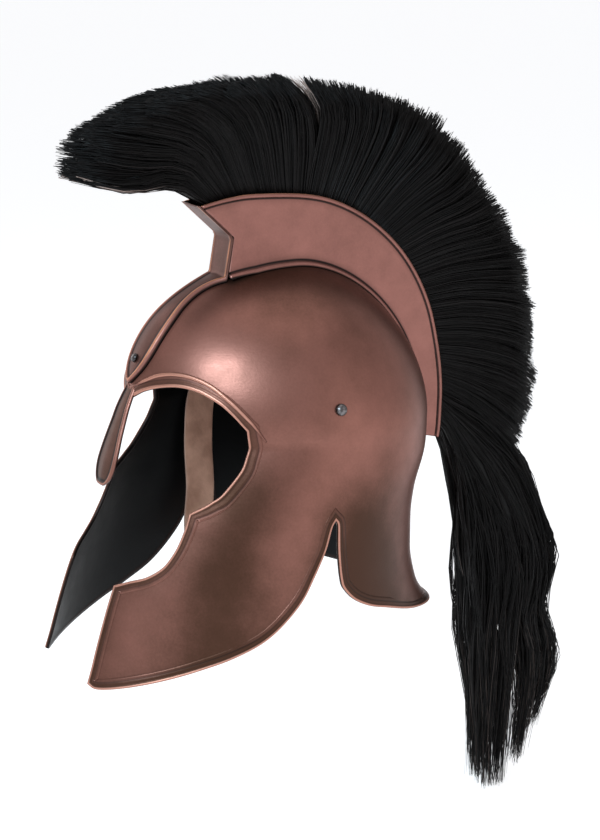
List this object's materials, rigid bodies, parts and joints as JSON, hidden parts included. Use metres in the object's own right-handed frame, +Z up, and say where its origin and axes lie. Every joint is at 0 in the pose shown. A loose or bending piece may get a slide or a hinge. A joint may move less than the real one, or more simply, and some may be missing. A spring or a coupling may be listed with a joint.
{
  "type": "crested helmet",
  "caption": "Sheet copper helmet with brow ridge, nasal, long cheek guards and flared neck guard, a crest box holding a long horsehair plume, and a leather chin strap.",
  "frame": {"origin": "the top of the hollow, on the inner face of the crown, where the wearer's head carries the helmet", "axes": "+Z up, the wearer faces -Y, +X is the wearer's left"},
  "size_m": [0.2008, 0.4265, 0.5817],
  "materials": {
    "copper": "antiqued copper plate, satin, dark brown in the hollows",
    "crest_copper": "antiqued copper plate, redder and lighter than the bowl",
    "rivet_steel": "dark polished steel",
    "strap_leather": "brown strap leather, waxed",
    "horsehair": "black horsehair"
  },
  "bodies": {
    "root": {"helmet_shell": "copper", "forehead_band": "crest_copper", "crest_box": "crest_copper", "forehead_rivet": "rivet_steel", "side_rivet_left": "rivet_steel", "side_rivet_right": "rivet_steel", "chin_strap": "strap_leather", "plume_front": "horsehair", "plume_crown": "horsehair", "plume_back": "horsehair", "plume_nape": "horsehair", "plume_tail": "horsehair"}
  },
  "joints": []
}
